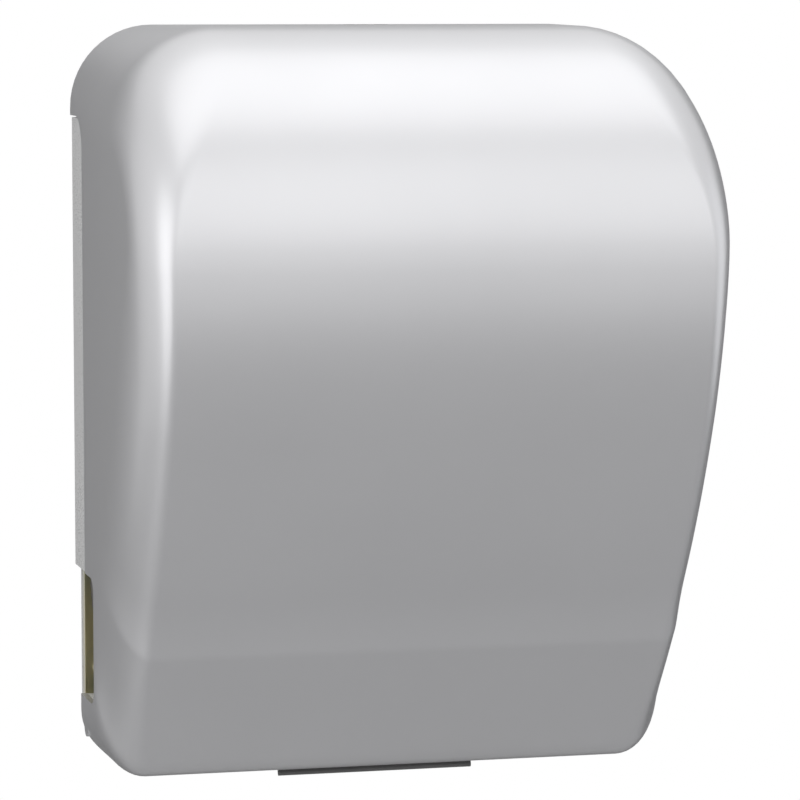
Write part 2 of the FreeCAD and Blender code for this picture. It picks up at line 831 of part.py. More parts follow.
def coil(radius, wire, turns, axis_start, axis):
    pitch = wire * coil_pitch_ratio
    helix = Part.makeHelix(pitch, pitch * turns, radius)
    start = FreeCAD.Vector(radius, 0, 0)
    circle = Part.Wire(Part.makeCircle(wire / 2, start, FreeCAD.Vector(0, 1, 0)))
    spring = Part.Wire(helix.Edges).makePipeShell([circle], True, True)
    turn = FreeCAD.Rotation(FreeCAD.Vector(0, 0, 1), axis)
    spring.Placement = FreeCAD.Placement(axis_start, turn)
    return spring


def lever_spring():
    radius = lever_shaft_radius + lever_spring_wire / 2 + lever_spring_gap
    return coil(radius, lever_spring_wire, lever_spring_turns,
                place(lever_hub_half + lever_spring_start, lever_depth, lever_height), across)


def arm_spring():
    radius = arm_pin_radius + arm_spring_wire / 2 + arm_spring_gap
    return coil(radius, arm_spring_wire, arm_spring_turns,
                place(arm_pivot_x, arm_pivot_depth, arm_barrel_high + arm_spring_start), upward)


# Guides and tear bar
def guide_screw_places():
    inset = guide_flange / 2
    front = front_guide_depth + guide_sheet + inset
    rear = rear_guide_depth - inset
    return [(front, front_guide_foot + guide_screw_rise),
            (front, front_guide_top - guide_screw_drop),
            (rear, rear_guide_top - guide_screw_drop)]


def guide(depth, foot, top, forward):
    reach = bracket_inner
    near = depth if forward else depth - guide_flange
    far = depth + guide_sheet + (guide_flange if forward else 0)
    sheet = block(-reach, reach, depth, depth + guide_sheet, foot, top)
    tab = block(reach - guide_sheet, reach, near, far, foot, top)
    made = sheet.fuse([tab, mirrored(tab)])
    holes = [rod(screw_radius, -reach - past, reach + past, d, h)
             for d, h in guide_screw_places() if near < d < far]
    return made.cut(holes)


def tear_screw_places():
    reach = tear_bar_half - tear_screw_inset
    return [(x, front_guide_foot + tear_screw_rise) for x in (-reach, 0.0, reach)]


def front_guide():
    sheet = guide(front_guide_depth, front_guide_foot, front_guide_top, True)
    return sheet.cut([peg(screw_radius, front_guide_depth - past,
                          front_guide_depth + guide_sheet + past, x, h)
                      for x, h in tear_screw_places()])


def rear_guide():
    return guide(rear_guide_depth, rear_guide_foot, rear_guide_top, False)


def guide_screws():
    screws = []
    for depth, height in guide_screw_places():
        screw = rod(screw_head_radius, bracket_outer, bracket_outer + low_screw_head,
                    depth, height)
        screw = screw.fuse(rod(screw_radius, bracket_inner - guide_sheet, bracket_outer,
                               depth, height))
        face = place(bracket_outer + low_screw_head - screw_recess, depth, height)
        screws.append(cross_recess(screw, face, "across", screw_recess))
    return both_sides(Part.makeCompound(screws))


def tear_bar():
    teeth = int(2 * tear_bar_half / tear_tooth_pitch)
    valley = tear_bar_tip + tear_tooth_height
    outline = [(-tear_bar_half, tear_bar_tip + tear_bar_height), (-tear_bar_half, valley)]
    for number in range(teeth):
        x = -tear_bar_half + tear_tooth_pitch * number
        outline.append((x + tear_tooth_pitch / 2, tear_bar_tip))
        outline.append((x + tear_tooth_pitch, valley))
    outline.append((tear_bar_half, tear_bar_tip + tear_bar_height))
    bar = front_plate(outline, front_guide_depth - tear_bar_sheet, front_guide_depth)
    return bar.cut([peg(screw_radius, front_guide_depth - tear_bar_sheet - past,
                        front_guide_depth + past, x, h) for x, h in tear_screw_places()])


def tear_bar_screws():
    screws = []
    for x, height in tear_screw_places():
        seat = front_guide_depth + guide_sheet
        screw = peg(screw_head_radius, seat, seat + screw_head, x, height)
        screw = screw.fuse(peg(screw_radius, front_guide_depth - tear_bar_sheet, seat, x, height))
        screws.append(cross_recess(screw, place(x, seat + screw_head, height), "depth",
                                   screw_recess))
    return Part.makeCompound(screws)


# Roll arms
def roll_arm():
    barrel = post(arm_barrel_radius, arm_barrel_low, arm_barrel_high, arm_pivot_x,
                  arm_pivot_depth)
    outline = [(arm_pivot_depth, arm_barrel_low), (arm_pivot_depth, arm_barrel_high),
               (arm_pivot_depth + arm_shoulder_back, arm_barrel_high),
               (arm_pivot_depth + arm_shoulder_front, arm_barrel_high + arm_shoulder_rise),
               (roll_depth, roll_height + arm_nose_radius),
               (roll_depth, roll_height - arm_nose_radius)]
    outer = arm_inner + arm_sheet
    web = side_plate(outline, arm_inner, outer)
    nose = rod(arm_nose_radius, arm_inner, outer, roll_depth, roll_height)
    rib = block(outer, outer + arm_sheet, arm_pivot_depth, roll_depth - arm_rib_end_gap,
                roll_height - arm_sheet / 2, roll_height + arm_sheet / 2)
    arm = barrel.fuse([web, nose, rib])
    return arm.cut([post(arm_pin_radius + running, 0, cover_height, arm_pivot_x, arm_pivot_depth),
                    rod(hub_pin_radius, 0, half_width, roll_depth, roll_height)])


def arm_hinge_pin():
    reach = arm_lug_gap + arm_lug + arm_pin_end
    return post(arm_pin_radius, arm_barrel_low - reach, arm_barrel_high + arm_spring_room + reach,
                arm_pivot_x, arm_pivot_depth)


def roll_hub():
    seat = arm_inner - hub_gap
    flange = rod(hub_flange_radius, seat - hub_flange, seat, roll_depth, roll_height)
    stub = Part.makeCone(hub_tip_radius, hub_root_radius, hub_length,
                         place(seat - hub_flange - hub_length, roll_depth, roll_height), across)
    bore = rod(hub_pin_radius + running, 0, half_width, roll_depth, roll_height)
    hollow = Part.makeCone(hub_tip_radius - hub_wall, hub_root_radius - hub_wall, hub_length,
                           place(seat - hub_flange - hub_length - past, roll_depth, roll_height),
                           across)
    sleeve = rod(hub_pin_radius + hub_sleeve, seat - hub_flange - hub_length, seat, roll_depth,
                 roll_height)
    return flange.fuse(stub).cut(hollow).fuse(sleeve).cut(bore)


def hub_pin():
    outer = arm_inner + arm_sheet
    tip = arm_inner - hub_gap - hub_flange - hub_length
    shank = rod(hub_pin_radius, tip, outer, roll_depth, roll_height)
    return shank.fuse(rod(hub_pin_head_radius, outer, outer + hub_pin_head, roll_depth,
                          roll_height))


save("front_cover", front_cover())
save("back_tray", back_tray())
save("cover_hinge_pins", cover_hinge_pins())
save("lock_housing", lock_housing())
save("lock_nut", lock_nut_ring())
save("lock_rotor", lock_rotor())
save("lock_cam", lock_cam())
save("lock_cam_screw", cam_screw())
save("left_bracket", mirrored(side_bracket()))
save("right_bracket", side_bracket())
save("bracket_screws", bracket_screws())
save("feed_shaft_bushes", flanged_bush(feed_shaft_radius, feed_depth, feed_height))
save("pressure_shaft_bushes", flanged_bush(pressure_shaft_radius, pressure_depth, pressure_height))
save("lever_shaft_bushes", flanged_bush(lever_shaft_radius, lever_depth, lever_height))
save("feed_shaft", feed_shaft())
save("feed_shaft_clips", shaft_clips(feed_shaft_radius, feed_depth, feed_height))
save("feed_roller_core", feed_roller_core())
save("feed_roller_rings", rings(feed_ring_radius, feed_core_radius, ring_width,
                                feed_depth, feed_height))
save("manual_feed_wheel", thumb_wheel())
save("pressure_shaft", pressure_shaft())
save("pressure_shaft_clips", shaft_clips(pressure_shaft_radius, pressure_depth, pressure_height))
save("pressure_rollers", rings(pressure_roller_radius, pressure_shaft_radius,
                               pressure_roller_width, pressure_depth, pressure_height))
save("lever_paddle", lever_paddle())
save("lever_shaft", lever_shaft())
save("lever_shaft_clips", shaft_clips(lever_shaft_radius, lever_depth, lever_height))
save("lever_return_spring", lever_spring())
save("sector_gear", sector_gear())
save("drive_pinion", drive_pinion())
save("one_way_clutch", one_way_clutch())
save("front_paper_guide", front_guide())
save("rear_paper_guide", rear_guide())
save("guide_screws", guide_screws())
save("tear_bar", tear_bar())
save("tear_bar_screws", tear_bar_screws())
save("right_roll_arm", roll_arm())
save("left_roll_arm", mirrored(roll_arm()))
save("roll_arm_hinge_pins", both_sides(arm_hinge_pin()))
save("roll_arm_springs", both_sides(arm_spring()))
save("right_roll_hub", roll_hub())
save("left_roll_hub", mirrored(roll_hub()))
save("right_hub_pin", hub_pin())
save("left_hub_pin", mirrored(hub_pin()))
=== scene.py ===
import math

import bpy
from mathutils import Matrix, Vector


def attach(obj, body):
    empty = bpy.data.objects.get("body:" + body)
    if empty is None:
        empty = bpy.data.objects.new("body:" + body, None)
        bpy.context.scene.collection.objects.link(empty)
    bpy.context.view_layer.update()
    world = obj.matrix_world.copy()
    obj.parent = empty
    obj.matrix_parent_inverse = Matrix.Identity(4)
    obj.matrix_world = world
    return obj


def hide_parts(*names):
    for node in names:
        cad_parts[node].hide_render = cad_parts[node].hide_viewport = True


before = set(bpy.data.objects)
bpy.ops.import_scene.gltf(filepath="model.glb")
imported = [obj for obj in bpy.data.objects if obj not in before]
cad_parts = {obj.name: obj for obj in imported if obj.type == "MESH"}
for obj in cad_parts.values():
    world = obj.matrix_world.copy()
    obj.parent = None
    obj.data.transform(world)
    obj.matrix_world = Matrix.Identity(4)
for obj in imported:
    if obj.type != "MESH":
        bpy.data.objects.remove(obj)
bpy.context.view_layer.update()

# Camera. It stands a little to the left of the dispenser and just above its top, two metres out,
# so that the left side shows as a narrow dark strip and the top only as an edge.
mm = 0.001
origin_height = 230.0


def place(x, depth, height):
    return Vector((x * mm, -depth * mm, (height - origin_height) * mm))


camera_yaw = math.radians(14.12)
camera_pitch = math.radians(5.83)
camera_data = bpy.data.cameras.new("camera")
camera_data.sensor_width = 36.0
camera_data.lens = 180.2
camera_data.clip_end = 20.0
camera = bpy.data.objects.new("camera", camera_data)
bpy.context.scene.collection.objects.link(camera)
camera.location = place(-475.0, 1990.0, 386.7)
sight = Vector((math.sin(camera_yaw) * math.cos(camera_pitch),
                math.cos(camera_yaw) * math.cos(camera_pitch),
                -math.sin(camera_pitch)))
camera.rotation_euler = sight.to_track_quat("-Z", "Y").to_euler()
bpy.context.scene.camera = camera


# Floor and white surround. The room is a pale studio, and the camera sees both as plain white.
# From below, it looks through the floor.
def add_node(tree, kind, x, y, **values):
    node = tree.nodes.new(kind)
    node.location = (x, y)
    for name, value in values.items():
        if name in node.inputs:
            node.inputs[name].default_value = value
        else:
            setattr(node, name, value)
    return node


def blank_tree(owner):
    owner.use_nodes = True
    owner.node_tree.nodes.clear()
    return owner.node_tree


def grey(level, warm=0.0):
    return (level * (1 + warm), level, level * (1 - warm), 1)


floor_drop = 700.0
floor_size = 6000.0
bpy.ops.object.select_all(action="DESELECT")
bpy.ops.mesh.primitive_plane_add(size=floor_size * mm, location=place(0, 0, -floor_drop))
floor = bpy.context.object
floor.name = "floor"
bpy.ops.object.transform_apply(location=True, rotation=True, scale=True)

floor_paint = bpy.data.materials.new("pale_floor")
tree = blank_tree(floor_paint)
out = add_node(tree, "ShaderNodeOutputMaterial", 800, 0)
from_below = add_node(tree, "ShaderNodeMixShader", 600, 0)
underside = add_node(tree, "ShaderNodeNewGeometry", 400, 250)
clear = add_node(tree, "ShaderNodeBsdfTransparent", 400, -200)
mix = add_node(tree, "ShaderNodeMixShader", 400, 0)
path = add_node(tree, "ShaderNodeLightPath", 0, 200)
diffuse = add_node(tree, "ShaderNodeBsdfDiffuse", 200, -100, Color=grey(0.8))
white = add_node(tree, "ShaderNodeEmission", 200, -250, Color=grey(1.0), Strength=1.0)
tree.links.new(path.outputs["Is Camera Ray"], mix.inputs["Fac"])
tree.links.new(diffuse.outputs[0], mix.inputs[1])
tree.links.new(white.outputs[0], mix.inputs[2])
tree.links.new(underside.outputs["Backfacing"], from_below.inputs["Fac"])
tree.links.new(mix.outputs[0], from_below.inputs[1])
tree.links.new(clear.outputs[0], from_below.inputs[2])
tree.links.new(from_below.outputs[0], out.inputs["Surface"])
floor.data.materials.append(floor_paint)

surround_level = 0.36
world = bpy.data.worlds.new("white_surround")
bpy.context.scene.world = world
tree = blank_tree(world)
out = add_node(tree, "ShaderNodeOutputWorld", 800, 0)
mix = add_node(tree, "ShaderNodeMixShader", 600, 0)
path = add_node(tree, "ShaderNodeLightPath", 0, 300)
seen = add_node(tree, "ShaderNodeMath", 200, 300, operation="ADD")
seen_through = add_node(tree, "ShaderNodeMath", 400, 300, operation="ADD", use_clamp=True)
dim = add_node(tree, "ShaderNodeBackground", 400, -50, Color=grey(1.0), Strength=surround_level)
bright = add_node(tree, "ShaderNodeBackground", 400, -200, Color=grey(1.0), Strength=1.0)
tree.links.new(path.outputs["Is Camera Ray"], seen.inputs[0])
tree.links.new(path.outputs["Is Glossy Ray"], seen.inputs[1])
tree.links.new(seen.outputs[0], seen_through.inputs[0])
tree.links.new(path.outputs["Is Transmission Ray"], seen_through.inputs[1])
tree.links.new(seen_through.outputs[0], mix.inputs["Fac"])
tree.links.new(dim.outputs[0], mix.inputs[1])
tree.links.new(bright.outputs[0], mix.inputs[2])
tree.links.new(mix.outputs[0], out.inputs["Surface"])


# The wall that the dispenser hangs on, set back a little. The camera looks through it, and it only
# darkens what the sides reflect.
wall_gap = 700.0
wall_size = 2600.0
wall_top = 700.0
wall_middle = 600.0
bpy.ops.object.select_all(action="DESELECT")
bpy.ops.mesh.primitive_plane_add(size=wall_size * mm, rotation=(math.pi / 2, 0, 0),
                                 location=place(wall_middle, -wall_gap, wall_top - wall_size / 2))
wall = bpy.context.object
wall.name = "wall"
bpy.ops.object.transform_apply(location=True, rotation=True, scale=True)
wall_paint = bpy.data.materials.new("grey_wall")
tree = blank_tree(wall_paint)
out = add_node(tree, "ShaderNodeOutputMaterial", 600, 0)
mix = add_node(tree, "ShaderNodeMixShader", 400, 0)
path = add_node(tree, "ShaderNodeLightPath", 0, 200)
diffuse = add_node(tree, "ShaderNodeBsdfDiffuse", 200, -100, Color=grey(0.22))
clear = add_node(tree, "ShaderNodeBsdfTransparent", 200, -250)
tree.links.new(path.outputs["Is Camera Ray"], mix.inputs["Fac"])
tree.links.new(diffuse.outputs[0], mix.inputs[1])
tree.links.new(clear.outputs[0], mix.inputs[2])
tree.links.new(mix.outputs[0], out.inputs["Surface"])
wall.data.materials.append(wall_paint)

# Lamps. Wide soft ones overhead, in front and on the left, a narrow weak one between those two for
# the corner's highlight, and a faint cool one on the right. All face the dispenser's middle.
lamps_aim = place(0, 100, 200)


def soft_lamp(name, spot, width, height, power, colour=(1.0, 1.0, 1.0)):
    lamp = bpy.data.lights.new(name, "AREA")
    lamp.shape = "RECTANGLE"
    lamp.size = width * mm
    lamp.size_y = height * mm
    lamp.energy = power
    lamp.color = colour
    holder = bpy.data.objects.new(name, lamp)
    bpy.context.scene.collection.objects.link(holder)
    holder.location = spot
    holder.rotation_euler = (lamps_aim - spot).to_track_quat("-Z", "Y").to_euler()


soft_lamp("overhead_lamp", place(0, 0, 1900), width=2600, height=1800, power=12.5)
soft_lamp("front_lamp", place(200, 2400, 1500), width=3000, height=2200, power=12.0)
soft_lamp("left_lamp", place(-2200, 700, 400), width=2000, height=2200, power=13.5)
soft_lamp("front_left_lamp", place(-1300, 1500, 700), width=250, height=900, power=0.4)
soft_lamp("right_lamp", place(1900, 500, 300), width=1600, height=1800, power=2.5,
          colour=(0.92, 0.95, 1.0))

bpy.context.scene.view_settings.view_transform = "Standard"


# Surface effects shared by the moulded plastics and by the metals. Each is a group of nodes that
# puts out a colour, a roughness and a height, made from noise on the piece's own coordinates.
def start_group(name, inputs, outputs):
    group = bpy.data.node_groups.new(name, "ShaderNodeTree")
    for label, kind, value in inputs:
        socket = group.interface.new_socket(name=label, in_out="INPUT", socket_type=kind)
        socket.default_value = value
    for label, kind in outputs:
        group.interface.new_socket(name=label, in_out="OUTPUT", socket_type=kind)
    entry = add_node(group, "NodeGroupInput", -900, 0)
    leave = add_node(group, "NodeGroupOutput", 900, 0)
    return group, entry, leave


surface_outputs = [("Colour", "NodeSocketColor"), ("Roughness", "NodeSocketFloat"),
                   ("Height", "NodeSocketFloat")]
# A Mix node's sockets where it mixes colours.
mix_factor, mix_first, mix_second, mix_result = 0, 6, 7, 2


def blend_tones(group, share, entry, second_tone):
    tone = add_node(group, "ShaderNodeMix", 100, 200, data_type="RGBA")
    group.links.new(share, tone.inputs[mix_factor])
    group.links.new(entry.outputs["Tone"], tone.inputs[mix_first])
    group.links.new(entry.outputs[second_tone], tone.inputs[mix_second])
    return tone.outputs[mix_result]


def spread_roughness(group, shift, entry):
    rough = add_node(group, "ShaderNodeMath", 250, -50, operation="MULTIPLY_ADD")
    group.links.new(shift, rough.inputs[0])
    group.links.new(entry.outputs["Spread"], rough.inputs[1])
    group.links.new(entry.outputs["Roughness"], rough.inputs[2])
    return rough.outputs[0]


def moulded_grain_group():
    # Fine mould grain, with broad soft flow marks in the plastic's colour.
    group, entry, leave = start_group(
        "moulded_grain",
        [("Tone", "NodeSocketColor", grey(0.5)), ("Flow Tone", "NodeSocketColor", grey(0.45)),
         ("Roughness", "NodeSocketFloat", 0.35), ("Spread", "NodeSocketFloat", 0.08),
         ("Grain Scale", "NodeSocketFloat", 1400.0), ("Flow Scale", "NodeSocketFloat", 9.0)],
        surface_outputs)
    link = group.links.new
    spot = add_node(group, "ShaderNodeTexCoord", -900, -300)
    grain = add_node(group, "ShaderNodeTexNoise", -500, -200, Detail=2.0, Roughness=0.6)
    flow = add_node(group, "ShaderNodeTexNoise", -500, 150, Detail=3.0, Roughness=0.5)
    link(spot.outputs["Object"], grain.inputs["Vector"])
    link(spot.outputs["Object"], flow.inputs["Vector"])
    link(entry.outputs["Grain Scale"], grain.inputs["Scale"])
    link(entry.outputs["Flow Scale"], flow.inputs["Scale"])
    soft = add_node(group, "ShaderNodeMapRange", -250, 150)
    soft.inputs["From Min"].default_value = 0.35
    soft.inputs["From Max"].default_value = 0.65
    link(flow.outputs["Fac"], soft.inputs["Value"])
    link(blend_tones(group, soft.outputs["Result"], entry, "Flow Tone"), leave.inputs["Colour"])
    shift = add_node(group, "ShaderNodeMath", 0, -50, operation="SUBTRACT")
    shift.inputs[1].default_value = 0.5
    both = add_node(group, "ShaderNodeMath", -200, -50, operation="MULTIPLY_ADD")
    both.inputs[1].default_value = 0.5
    half_flow = add_node(group, "ShaderNodeMath", -350, 0, operation="MULTIPLY")
    half_flow.inputs[1].default_value = 0.5
    link(flow.outputs["Fac"], half_flow.inputs[0])
    link(grain.outputs["Fac"], both.inputs[0])
    link(half_flow.outputs[0], both.inputs[2])
    link(both.outputs[0], shift.inputs[0])
    link(spread_roughness(group, shift.outputs[0], entry), leave.inputs["Roughness"])
    link(grain.outputs["Fac"], leave.inputs["Height"])
    return group


moulded_grain = moulded_grain_group()


def finish_material(name, group, values, metallic, coat, coat_roughness, bump, bump_distance):
    paint = bpy.data.materials.new(name)
    tree = blank_tree(paint)
    out = add_node(tree, "ShaderNodeOutputMaterial", 700, 0)
    shader = add_node(tree, "ShaderNodeBsdfPrincipled", 400, 0, Metallic=metallic)
    shader.inputs["Coat Weight"].default_value = coat
    shader.inputs["Coat Roughness"].default_value = coat_roughness
    effect = add_node(tree, "ShaderNodeGroup", 0, 0, node_tree=group)
    for label, value in values.items():
        effect.inputs[label].default_value = value
    relief = add_node(tree, "ShaderNodeBump", 200, -200, Strength=bump, Distance=bump_distance)
    tree.links.new(effect.outputs["Colour"], shader.inputs["Base Color"])
    tree.links.new(effect.outputs["Roughness"], shader.inputs["Roughness"])
    tree.links.new(effect.outputs["Height"], relief.inputs["Height"])
    tree.links.new(relief.outputs["Normal"], shader.inputs["Normal"])
    tree.links.new(shader.outputs[0], out.inputs["Surface"])
    return paint


def moulded_plastic(name, tone, flow_tone, roughness, coat=0.0, grain=1400.0, bump=0.08,
                    metal=0.0):
    values = {"Tone": tone, "Flow Tone": flow_tone, "Roughness": roughness, "Grain Scale": grain}
    return finish_material(name, moulded_grain, values, metallic=metal, coat=coat,
                           coat_roughness=0.15, bump=bump, bump_distance=0.2 * mm)


def drawn_metal_group():
    # Fine lines along one axis, as on turned, drawn or rolled steel, with faint cloudy staining.
    group, entry, leave = start_group(
        "drawn_metal",
        [("Tone", "NodeSocketColor", grey(0.6)),
         ("Stain Tone", "NodeSocketColor", (0.5, 0.5, 0.45, 1)),
         ("Roughness", "NodeSocketFloat", 0.3), ("Spread", "NodeSocketFloat", 0.25),
         ("Stain Scale", "NodeSocketFloat", 60.0),
         ("Line Stretch", "NodeSocketVector", (1, 30, 30))],
        surface_outputs)
    link = group.links.new
    spot = add_node(group, "ShaderNodeTexCoord", -900, -300)
    stretch = add_node(group, "ShaderNodeVectorMath", -700, -200, operation="MULTIPLY")
    link(spot.outputs["Object"], stretch.inputs[0])
    link(entry.outputs["Line Stretch"], stretch.inputs[1])
    lines = add_node(group, "ShaderNodeTexNoise", -500, -200, Scale=60.0, Detail=3.0)
    link(stretch.outputs[0], lines.inputs["Vector"])
    stain = add_node(group, "ShaderNodeTexNoise", -500, 150, Detail=4.0, Roughness=0.6)
    link(spot.outputs["Object"], stain.inputs["Vector"])
    link(entry.outputs["Stain Scale"], stain.inputs["Scale"])
    patch = add_node(group, "ShaderNodeMapRange", -250, 150)
    patch.inputs["From Min"].default_value = 0.38
    patch.inputs["From Max"].default_value = 0.66
    link(stain.outputs["Fac"], patch.inputs["Value"])
    link(blend_tones(group, patch.outputs["Result"], entry, "Stain Tone"), leave.inputs["Colour"])
    shift = add_node(group, "ShaderNodeMath", -200, -150, operation="SUBTRACT")
    shift.inputs[1].default_value = 0.5
    link(lines.outputs["Fac"], shift.inputs[0])
    link(spread_roughness(group, shift.outputs[0], entry), leave.inputs["Roughness"])
    link(lines.outputs["Fac"], leave.inputs["Height"])
    return group


drawn_metal = drawn_metal_group()
along_x = (1.0, 30.0, 30.0)
along_y = (30.0, 1.0, 30.0)
along_z = (30.0, 30.0, 1.0)


def worked_metal(name, tone, stain_tone, roughness, stretch, bump=0.05):
    values = {"Tone": tone, "Stain Tone": stain_tone, "Roughness": roughness,
              "Line Stretch": stretch}
    return finish_material(name, drawn_metal, values, metallic=1.0, coat=0.0, coat_roughness=0.1,
                           bump=bump, bump_distance=0.1 * mm)


def dress(paint, *names):
    for name in names:
        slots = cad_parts[name].data.materials
        slots.clear()
        slots.append(paint)


# Back tray. One pale grey moulding, screwed to the wall, that carries everything else; its
# glossy side wall shows between the wall and the cover's rear edge.
tray_plastic = moulded_plastic("tray_plastic", grey(0.88), grey(0.85), 0.28, coat=0.3)
dress(tray_plastic, "back_tray")

# Side brackets. Folded steel sheet, yellow zinc plated, screwed to the tray by their flanges. They
# carry the three shafts between them, and the lock's cam is cut from the same sheet.
zinc_plate = worked_metal("yellow_zinc_plate", (0.56, 0.50, 0.30, 1), (0.42, 0.44, 0.30, 1), 0.38,
                          along_z)
dress(zinc_plate, "left_bracket", "right_bracket", "lock_cam")

# Screws, pins and shafts. Bright steel, turned or drawn along their length. The screws hold the
# brackets, the guides and the tear bar, and the shafts run in bushes.
screw_steel = worked_metal("screw_steel", grey(0.62, 0.01), grey(0.5, 0.03), 0.3, along_y)
dress(screw_steel, "bracket_screws", "guide_screws", "tear_bar_screws", "lock_cam_screw")
shaft_steel = worked_metal("shaft_steel", grey(0.66), grey(0.55, 0.02), 0.22, along_x)
dress(shaft_steel, "feed_shaft", "pressure_shaft", "lever_shaft", "cover_hinge_pins",
      "left_hub_pin", "right_hub_pin", "one_way_clutch")
pin_steel = worked_metal("pin_steel", grey(0.64), grey(0.54, 0.02), 0.25, along_z)
dress(pin_steel, "roll_arm_hinge_pins")

# Springs and shaft clips. Dark oiled spring steel. The springs are wound from wire, and the clips
# are stamped rings that snap on near the shafts' ends.
spring_steel = worked_metal("spring_steel", grey(0.32, 0.02), grey(0.22, 0.05), 0.35, along_x)
dress(spring_steel, "lever_return_spring", "roll_arm_springs", "feed_shaft_clips",
      "pressure_shaft_clips", "lever_shaft_clips")

# Shaft bushes. Black acetal, pressed into the brackets, two for each of the three shafts.
# They need no oil.
bush_plastic = moulded_plastic("black_acetal", grey(0.03), grey(0.045), 0.3)
dress(bush_plastic, "feed_shaft_bushes", "pressure_shaft_bushes", "lever_shaft_bushes")

# Feed roller. A grey plastic core on the shaft with four soft rubber rings. The pressure rollers
# that face it are moulded in the same grey plastic.
core_plastic = moulded_plastic("roller_plastic", grey(0.16), grey(0.19), 0.42)
dress(core_plastic, "feed_roller_core", "pressure_rollers")
ring_rubber = moulded_plastic("ring_rubber", grey(0.035), grey(0.055, 0.03), 0.7, grain=900.0,
                              bump=0.4)
dress(ring_rubber, "feed_roller_rings")

# Manual feed wheel. Dark brown-grey plastic with finger grooves round its rim, fixed on the feed
# shaft's left end, where a thumb reaches it through the cover's side.
wheel_plastic = moulded_plastic("wheel_plastic", (0.075, 0.068, 0.06, 1), (0.11, 0.1, 0.09, 1),
                                0.4, grain=900.0, bump=0.2)
dress(wheel_plastic, "manual_feed_wheel")

# Lever paddle. Dark grey plastic, ribbed behind, fixed on its shaft. It hangs just below the cover
# and is pushed towards the wall.
lever_plastic = moulded_plastic("lever_plastic", grey(0.12), grey(0.145), 0.45)
dress(lever_plastic, "lever_paddle")

# Gears. Moulded in natural nylon, cream and slightly waxy. The sector on the lever's shaft turns
# the small pinion on the feed shaft.
gear_nylon = moulded_plastic("gear_nylon", (0.72, 0.69, 0.60, 1), (0.66, 0.63, 0.53, 1), 0.38)
dress(gear_nylon, "sector_gear", "drive_pinion")

# Paper guides. Mid grey sheets moulded with end tabs, screwed between the brackets. The paper runs
# down between the two.
guide_plastic = moulded_plastic("guide_plastic", grey(0.26), grey(0.29), 0.4)
dress(guide_plastic, "front_paper_guide", "rear_paper_guide")

# Tear bar. A stamped strip of stainless steel with a saw edge, screwed along the foot of the front
# paper guide.
stainless = worked_metal("stainless_strip", grey(0.62), grey(0.56), 0.26, along_x)
dress(stainless, "tear_bar")

# Roll arms and hubs. Dark grey arms swing out on pins in the tray's lugs, and lighter grey hubs at
# their ends hold the roll's core.
arm_plastic = moulded_plastic("arm_plastic", grey(0.075), grey(0.095), 0.42)
dress(arm_plastic, "left_roll_arm", "right_roll_arm")
hub_plastic = moulded_plastic("hub_plastic", grey(0.24), grey(0.28), 0.4)
dress(hub_plastic, "left_roll_hub", "right_roll_hub")

# Front cover. One thin silver-grey moulding. Its side view is a flat top, a round brow, a leaning
# front with a soft crease near the foot, and a flat underside; its upright corners are elliptical.
cover_width = 290.0
cover_height = 370.0
cover_wall = 3.0
rear_gap = 1.0
crown_depth = 91.7
crown_radius = 108.2
brow_radius = 220.0
brow_angle = -23.0
front_radius = 520.0
front_angle = -33.0
waist_radius = 150.0
waist_angle = -22.0
crease_radius = 20.0
chin_radius = 25.0
chin_angle = -36.5
flat_rows = 10
chin_rows = 12
# Each arc down the front: its radius, the directions it starts and ends in, and its rows.
front_arcs = [(crown_radius, 90.0, 0.0, 24), (brow_radius, 0.0, brow_angle, 20),
              (front_radius, brow_angle, front_angle, 16),
              (-waist_radius, front_angle, waist_angle, 10),
              (crease_radius, waist_angle, chin_angle, 8)]


def unit(angle):
    return math.cos(math.radians(angle)), math.sin(math.radians(angle))


def straight(start, end, steps, angle):
    return [(start[0] + (end[0] - start[0]) * k / steps,
             start[1] + (end[1] - start[1]) * k / steps, angle) for k in range(steps)]


def side_profile():
    # Points of depth and height with the direction that the surface faces there.
    points = straight((rear_gap, cover_height), (crown_depth, cover_height), flat_rows, 90.0)
    here = (crown_depth, cover_height)
    for radius, start, end, steps in front_arcs:
        ux, uy = unit(start)
        centre = (here[0] - radius * ux, here[1] - radius * uy)
        for k in range(steps):
            angle = start + (end - start) * k / steps
            ux, uy = unit(angle)
            points.append((centre[0] + radius * ux, centre[1] + radius * uy, angle))
        ux, uy = unit(end)
        here = (centre[0] + radius * ux, centre[1] + radius * uy)
    ux, uy = unit(chin_angle)
    low = chin_radius * (1 + uy)
    joint = (here[0] + (here[1] - low) * uy / ux, low)
    points += straight(here, joint, chin_rows, chin_angle)
    centre = (joint[0] - chin_radius * ux, chin_radius)
    for k in range(chin_rows):
        angle = chin_angle + (-90.0 - chin_angle) * k / chin_rows
        ux, uy = unit(angle)
        points.append((centre[0] + chin_radius * ux, centre[1] + chin_radius * uy, angle))
    points += straight((centre[0], 0.0), (rear_gap, 0.0), flat_rows, -90.0)
    points.append((rear_gap, 0.0, -90.0))
    return points


def smooth(value, start, end):
    share = min(1.0, max(0.0, (value - start) / (end - start)))
    return share * share * (3 - 2 * share)


# Corner sizes: how far the rounding reaches across the front and back along the side.
corner_top = 41.0
corner_crown = 55.0
corner_across = 17.0
corner_back = 62.0
corner_foot = 27.0
profile = side_profile()
travel = [0.0]
for a, b in zip(profile, profile[1:]):
    travel.append(travel[-1] + math.hypot(b[0] - a[0], b[1] - a[1]))
crown_end = crown_depth + crown_radius * math.pi / 2
foot_travel = travel[-1]
chin_top = 34.0
chin_travel = next(t for t, p in zip(travel, profile) if p[1] < chin_top and p[2] == chin_angle)
brow_travel = next(t for t, p in zip(travel, profile) if p[2] == brow_angle)
